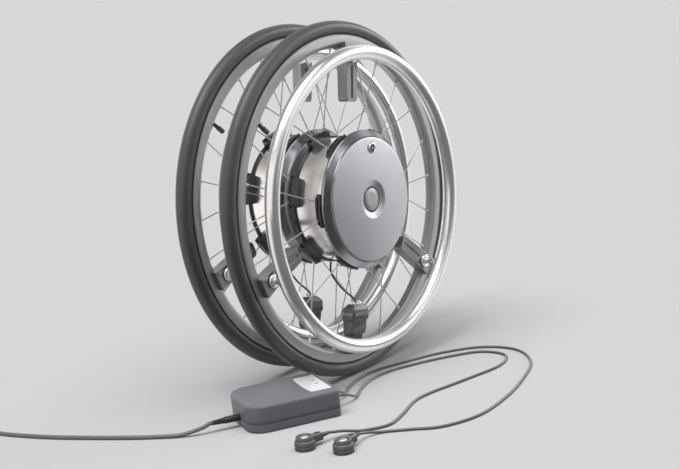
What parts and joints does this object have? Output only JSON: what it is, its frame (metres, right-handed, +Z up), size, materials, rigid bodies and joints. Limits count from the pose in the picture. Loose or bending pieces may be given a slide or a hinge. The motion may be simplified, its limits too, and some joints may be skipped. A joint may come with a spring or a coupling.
{
  "type": "wheelchair power assist",
  "caption": "Spoked wheelchair drive wheels with hub motors, sprung push rims and quick-release axles, with a charger on the floor and its leads.",
  "frame": {"origin": "on the floor, in the middle of the box round the wheels and the charger, without the leads", "axes": "+Z up, +Y along the axles from the hub covers to the axle tips, +X to the right seen from the covers"},
  "size_m": [0.9674, 0.7805, 0.59],
  "materials": {
    "tyre": "matt",
    "tube": "matt",
    "rim": "anodised",
    "spoke": "bright",
    "nipple": "plated",
    "flange": "satin",
    "drum": "polished",
    "hub_casting": "satin",
    "shield": "satin",
    "cover": "satin",
    "contact": "polished",
    "magnet": "plated",
    "battery": "matt",
    "bracket": "matt",
    "sensor": "matt",
    "cable": "matt",
    "push_rim": "satin",
    "button": "satin",
    "steel": "ground",
    "stator": "laminated",
    "case": "fine grain",
    "case_base": "fine grain",
    "transformer": "laminated",
    "board": "lacquered",
    "black_plastic": "matt",
    "cord": "matt",
    "plug": "matt"
  },
  "bodies": {
    "stand": {"axles": "steel", "spindles": "steel", "stators": "stator", "bearings": "steel", "charger_top": "case", "charger_base": "case_base", "charger_screws": "steel", "charger_board": "board", "charger_transformer": "transformer", "mains_inlet": "black_plastic", "mains_connector": "black_plastic", "mains_cord": "cord", "mains_coil": "cord", "mains_plug": "black_plastic", "charge_lead_a": "cord", "charge_lead_b": "cord", "charge_plug_a": "plug", "charge_plug_b": "plug"},
    "front_wheel": {"front_tyre": "tyre", "front_inner_tube": "tube", "front_rim": "rim", "front_spokes": "spoke", "front_nipples": "nipple", "front_spoke_flanges": "flange", "front_drum": "drum", "front_back_plate": "hub_casting", "front_end_shield": "shield", "front_hub_cover": "cover", "front_charge_socket": "contact", "front_magnet_ring": "magnet", "front_battery_pack": "battery", "front_rim_brackets": "bracket", "front_sensor_box": "sensor", "front_sensor_cable": "cable"},
    "front_push_rim": {"front_push_rim": "push_rim", "front_push_rim_studs": "contact"},
    "front_button": {"front_release_button": "button"},
    "front_ball_a": {"front_lock_ball_a": "contact"},
    "front_ball_b": {"front_lock_ball_b": "contact"},
    "rear_wheel": {"rear_tyre": "tyre", "rear_inner_tube": "tube", "rear_rim": "rim", "rear_spokes": "spoke", "rear_nipples": "nipple", "rear_spoke_flanges": "flange", "rear_drum": "drum", "rear_back_plate": "hub_casting", "rear_end_shield": "shield", "rear_hub_cover": "cover", "rear_charge_socket": "contact", "rear_magnet_ring": "magnet", "rear_battery_pack": "battery", "rear_rim_brackets": "bracket", "rear_sensor_box": "sensor", "rear_sensor_cable": "cable"},
    "rear_push_rim": {"rear_push_rim": "push_rim", "rear_push_rim_studs": "contact"},
    "rear_button": {"rear_release_button": "button"},
    "rear_ball_a": {"rear_lock_ball_a": "contact"},
    "rear_ball_b": {"rear_lock_ball_b": "contact"}
  },
  "joints": [
    {"name": "front_wheel_spin", "type": "hinge", "parent": "stand", "child": "front_wheel", "pos_m": [0.00409, -0.02404, 0.295], "axis": [0, 1, 0], "continuous": true},
    {"name": "front_push_rim_swing", "type": "hinge", "parent": "front_wheel", "child": "front_push_rim", "pos_m": [0.00409, -0.02404, 0.295], "axis": [0, 1, 0], "range_deg": [-2, 2], "stiffness_Nm_per_rad": 300},
    {"name": "front_button_press", "type": "slide", "parent": "stand", "child": "front_button", "axis": [0, 1, 0], "range_m": [0, 0.004], "stiffness_N_per_m": 600},
    {"name": "front_ball_a_slide", "type": "slide", "parent": "stand", "child": "front_ball_a", "axis": [0, 0, -1], "range_m": [0, 0.0012]},
    {"name": "front_ball_b_slide", "type": "slide", "parent": "stand", "child": "front_ball_b", "axis": [0, 0, 1], "range_m": [0, 0.0012]},
    {"name": "rear_wheel_spin", "type": "hinge", "parent": "stand", "child": "rear_wheel", "pos_m": [0.02609, 0.09096, 0.295], "axis": [0, 1, 0], "continuous": true},
    {"name": "rear_push_rim_swing", "type": "hinge", "parent": "rear_wheel", "child": "rear_push_rim", "pos_m": [0.02609, 0.09096, 0.295], "axis": [0, 1, 0], "range_deg": [-2, 2], "stiffness_Nm_per_rad": 300},
    {"name": "rear_button_press", "type": "slide", "parent": "stand", "child": "rear_button", "axis": [0, 1, 0], "range_m": [0, 0.004], "stiffness_N_per_m": 600},
    {"name": "rear_ball_a_slide", "type": "slide", "parent": "stand", "child": "rear_ball_a", "axis": [0, 0, -1], "range_m": [0, 0.0012]},
    {"name": "rear_ball_b_slide", "type": "slide", "parent": "stand", "child": "rear_ball_b", "axis": [0, 0, 1], "range_m": [0, 0.0012]}
  ],
  "couplings": [
    {"joint": "front_ball_a_slide", "follows": "front_button_press", "ratio": 0.3},
    {"joint": "front_ball_b_slide", "follows": "front_button_press", "ratio": 0.3},
    {"joint": "rear_ball_a_slide", "follows": "rear_button_press", "ratio": 0.3},
    {"joint": "rear_ball_b_slide", "follows": "rear_button_press", "ratio": 0.3}
  ]
}
